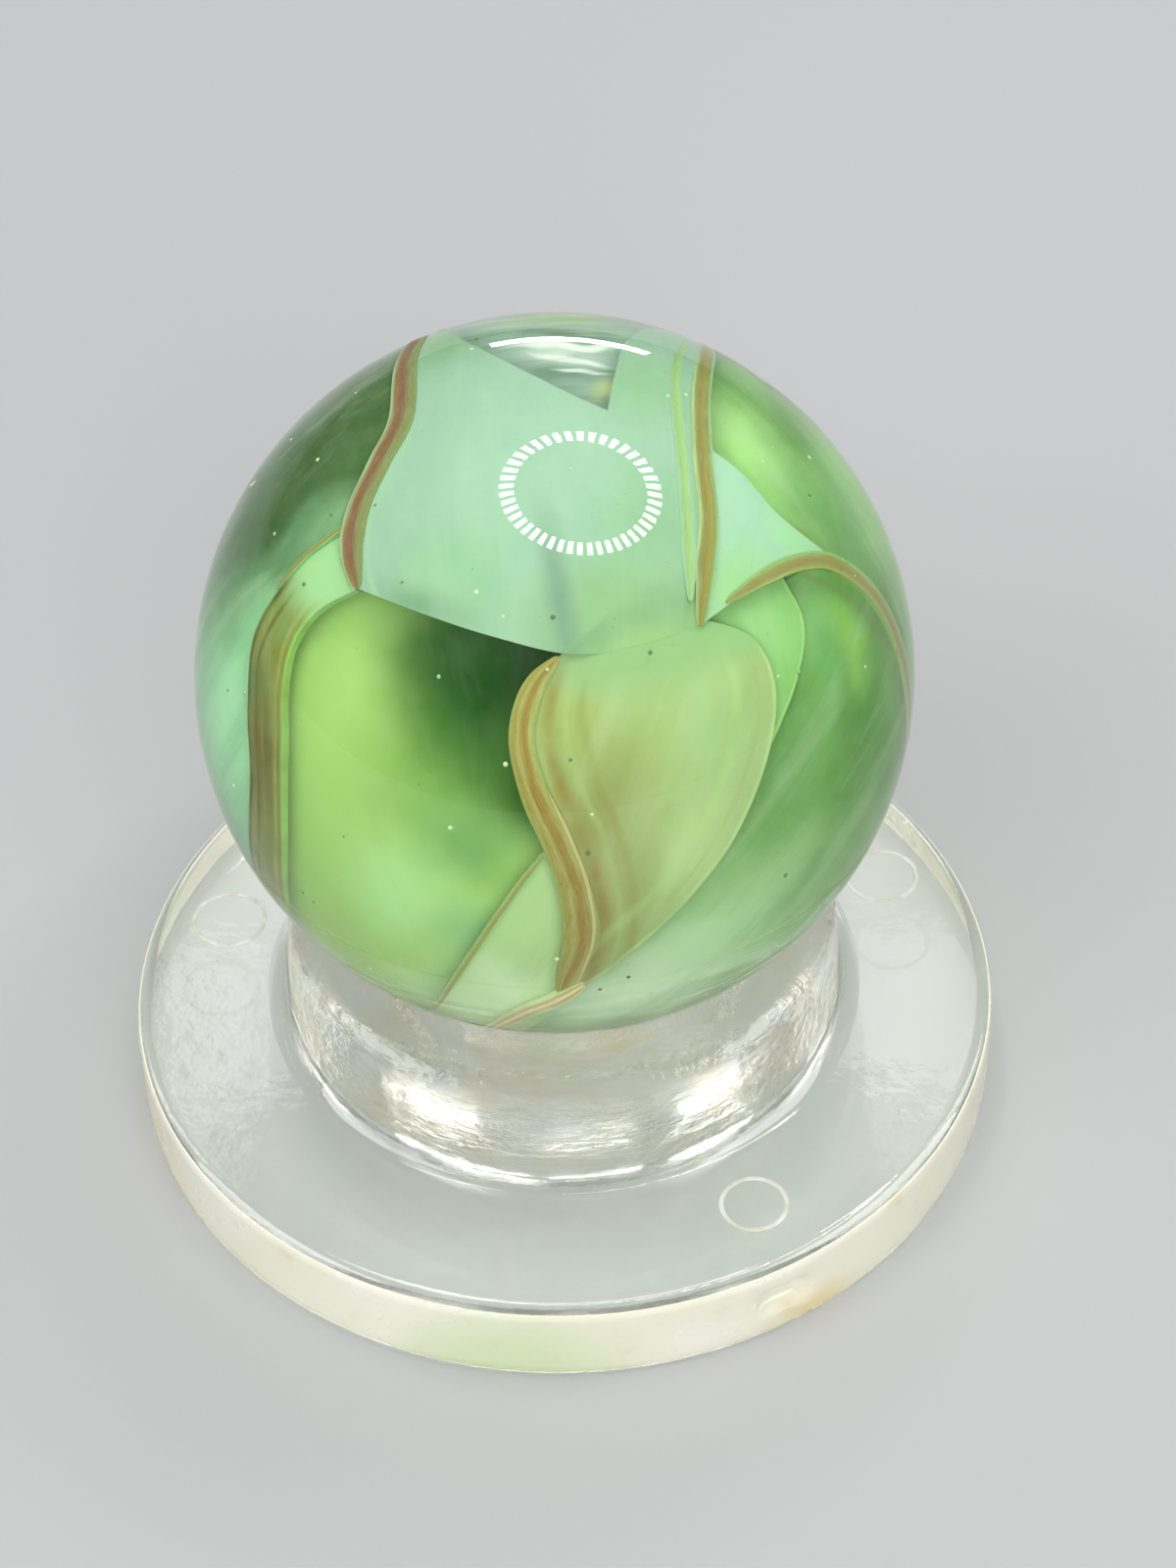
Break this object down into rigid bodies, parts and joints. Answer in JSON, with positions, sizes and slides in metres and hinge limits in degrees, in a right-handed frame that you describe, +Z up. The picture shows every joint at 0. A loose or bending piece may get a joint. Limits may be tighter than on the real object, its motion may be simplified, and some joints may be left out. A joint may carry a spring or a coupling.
{
  "type": "swirl glass ball on a display stand",
  "caption": "Green and aqua swirl glass ball resting in the collar of a clear moulded disc stand, from which it lifts off.",
  "frame": {"origin": "centre of the stand's flat underside", "axes": "+Z up along the stand's axis, -Y towards the ball's front with the leaf-shaped vane"},
  "size_m": [0.0204, 0.0204, 0.0198],
  "materials": {
    "clear_plastic": "clear moulded, polished faces with a faintly frosted outer wall",
    "clear_glass": "clear, faintly green, polished",
    "aqua_glass": "milky, polished",
    "mint_glass": "milky, polished",
    "olive_glass": "cloudy, streaked",
    "green_glass": "streaked, translucent",
    "deep_green_glass": "transparent, dark",
    "tan_glass": "opaque, streaked",
    "brown_glass": "cloudy, streaked"
  },
  "bodies": {
    "stand": {"display_stand": "clear_plastic"},
    "ball": {"clear_glass_body": "clear_glass", "upper_aqua_band": "aqua_glass", "left_aqua_band": "aqua_glass", "right_mint_patch": "mint_glass", "leaf_vane": "olive_glass", "lower_right_green_band": "green_glass", "inner_green_vane": "deep_green_glass", "left_tan_vein": "tan_glass", "right_tan_vein": "tan_glass", "leaf_tan_vein": "tan_glass", "window_tan_stripe": "brown_glass", "right_tan_arc": "tan_glass", "bottom_tan_swirl": "tan_glass", "rear_aqua_band": "aqua_glass", "rear_green_band": "green_glass", "rear_tan_vein": "tan_glass"}
  },
  "joints": [
    {"name": "ball_lift", "type": "slide", "parent": "stand", "child": "ball", "axis": [0, 0, 1], "range_m": [0, 0.025]}
  ]
}
